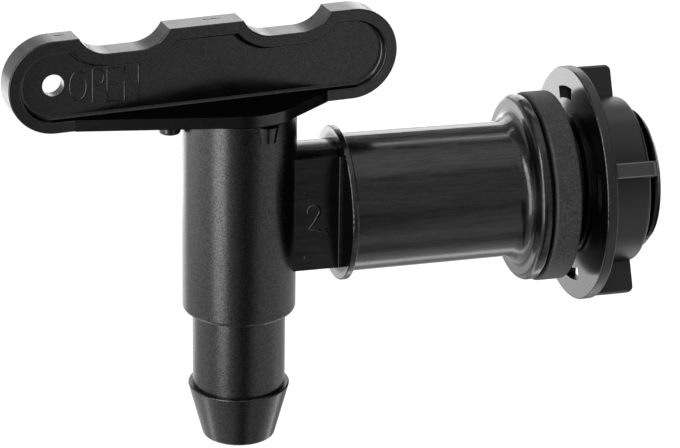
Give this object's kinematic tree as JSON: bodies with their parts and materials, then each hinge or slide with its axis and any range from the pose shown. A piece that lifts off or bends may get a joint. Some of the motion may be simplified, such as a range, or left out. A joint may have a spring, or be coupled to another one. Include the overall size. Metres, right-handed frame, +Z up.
{
  "type": "rain barrel tap",
  "caption": "Quarter-turn plastic tap for a rain barrel, with a T handle, barbed hose tail, flanged threaded arm, rubber washer and wing nut.",
  "frame": {"origin": "centre of the washer's outer face, on the arm's axis, where the tap bears on the barrel wall", "axes": "+X along the arm into the rain barrel, +Z up the tap's axis towards the handle"},
  "size_m": [0.1222, 0.0444, 0.0824],
  "materials": {
    "body_plastic": "satin moulded plastic, fine spark texture on the barrel",
    "handle_plastic": "matt moulded plastic",
    "nut_plastic": "matt moulded plastic",
    "washer_rubber": "matt rubber",
    "seal_rubber": "matt rubber"
  },
  "bodies": {
    "body": {"tap_body": "body_plastic", "seal_washer": "washer_rubber"},
    "handle": {"handle": "handle_plastic", "upper_o_ring": "seal_rubber", "lower_o_ring": "seal_rubber", "port_seal": "seal_rubber"},
    "nut": {"back_nut": "nut_plastic"}
  },
  "joints": [
    {"name": "handle_turn", "type": "hinge", "parent": "body", "child": "handle", "pos_m": [-0.06075, 0, 0], "axis": [0, 0, 1], "range_deg": [0, 90]},
    {"name": "nut_turn", "type": "hinge", "parent": "body", "child": "nut", "pos_m": [0.0034, 0, 0], "axis": [1, 0, 0], "continuous": true}
  ]
}
